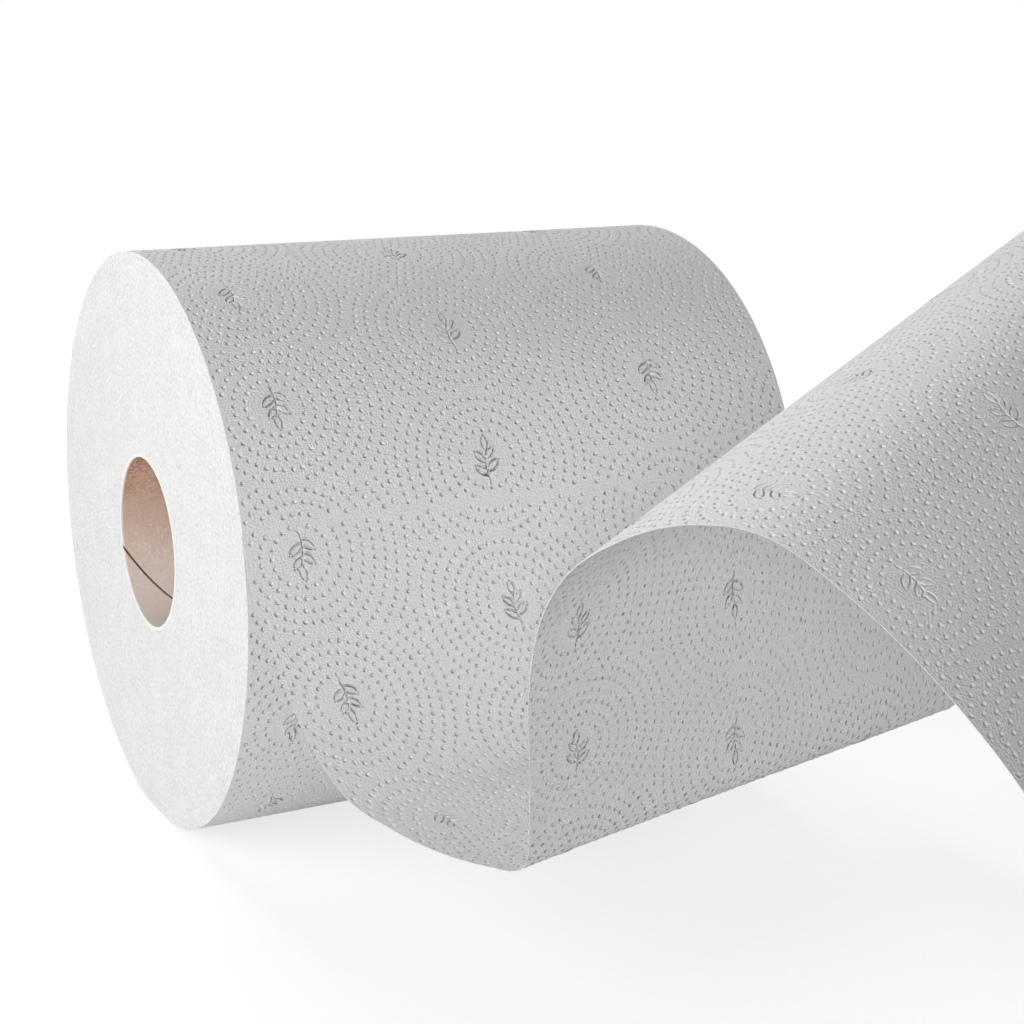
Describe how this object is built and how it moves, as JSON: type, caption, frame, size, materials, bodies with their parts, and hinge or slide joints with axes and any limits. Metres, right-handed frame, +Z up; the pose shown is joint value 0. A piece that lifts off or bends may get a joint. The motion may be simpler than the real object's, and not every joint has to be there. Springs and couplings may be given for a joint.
{
  "type": "cellulose wipe roll",
  "caption": "Roll of embossed absorbent cellulose paper wound on an open cardboard core, lying on its side with its free end pulled forward in a loose wave.",
  "frame": {"origin": "middle of the core tube's axis", "axes": "+X along the core's axis, -Y towards the loose sheet at the front, +Z up"},
  "size_m": [0.2997, 0.5495, 0.2277],
  "materials": {
    "core_board": "matte, spiral wound",
    "tissue_paper": "matte, dot embossed"
  },
  "bodies": {
    "root": {"core_tube": "core_board", "paper_web": "tissue_paper"}
  },
  "joints": []
}
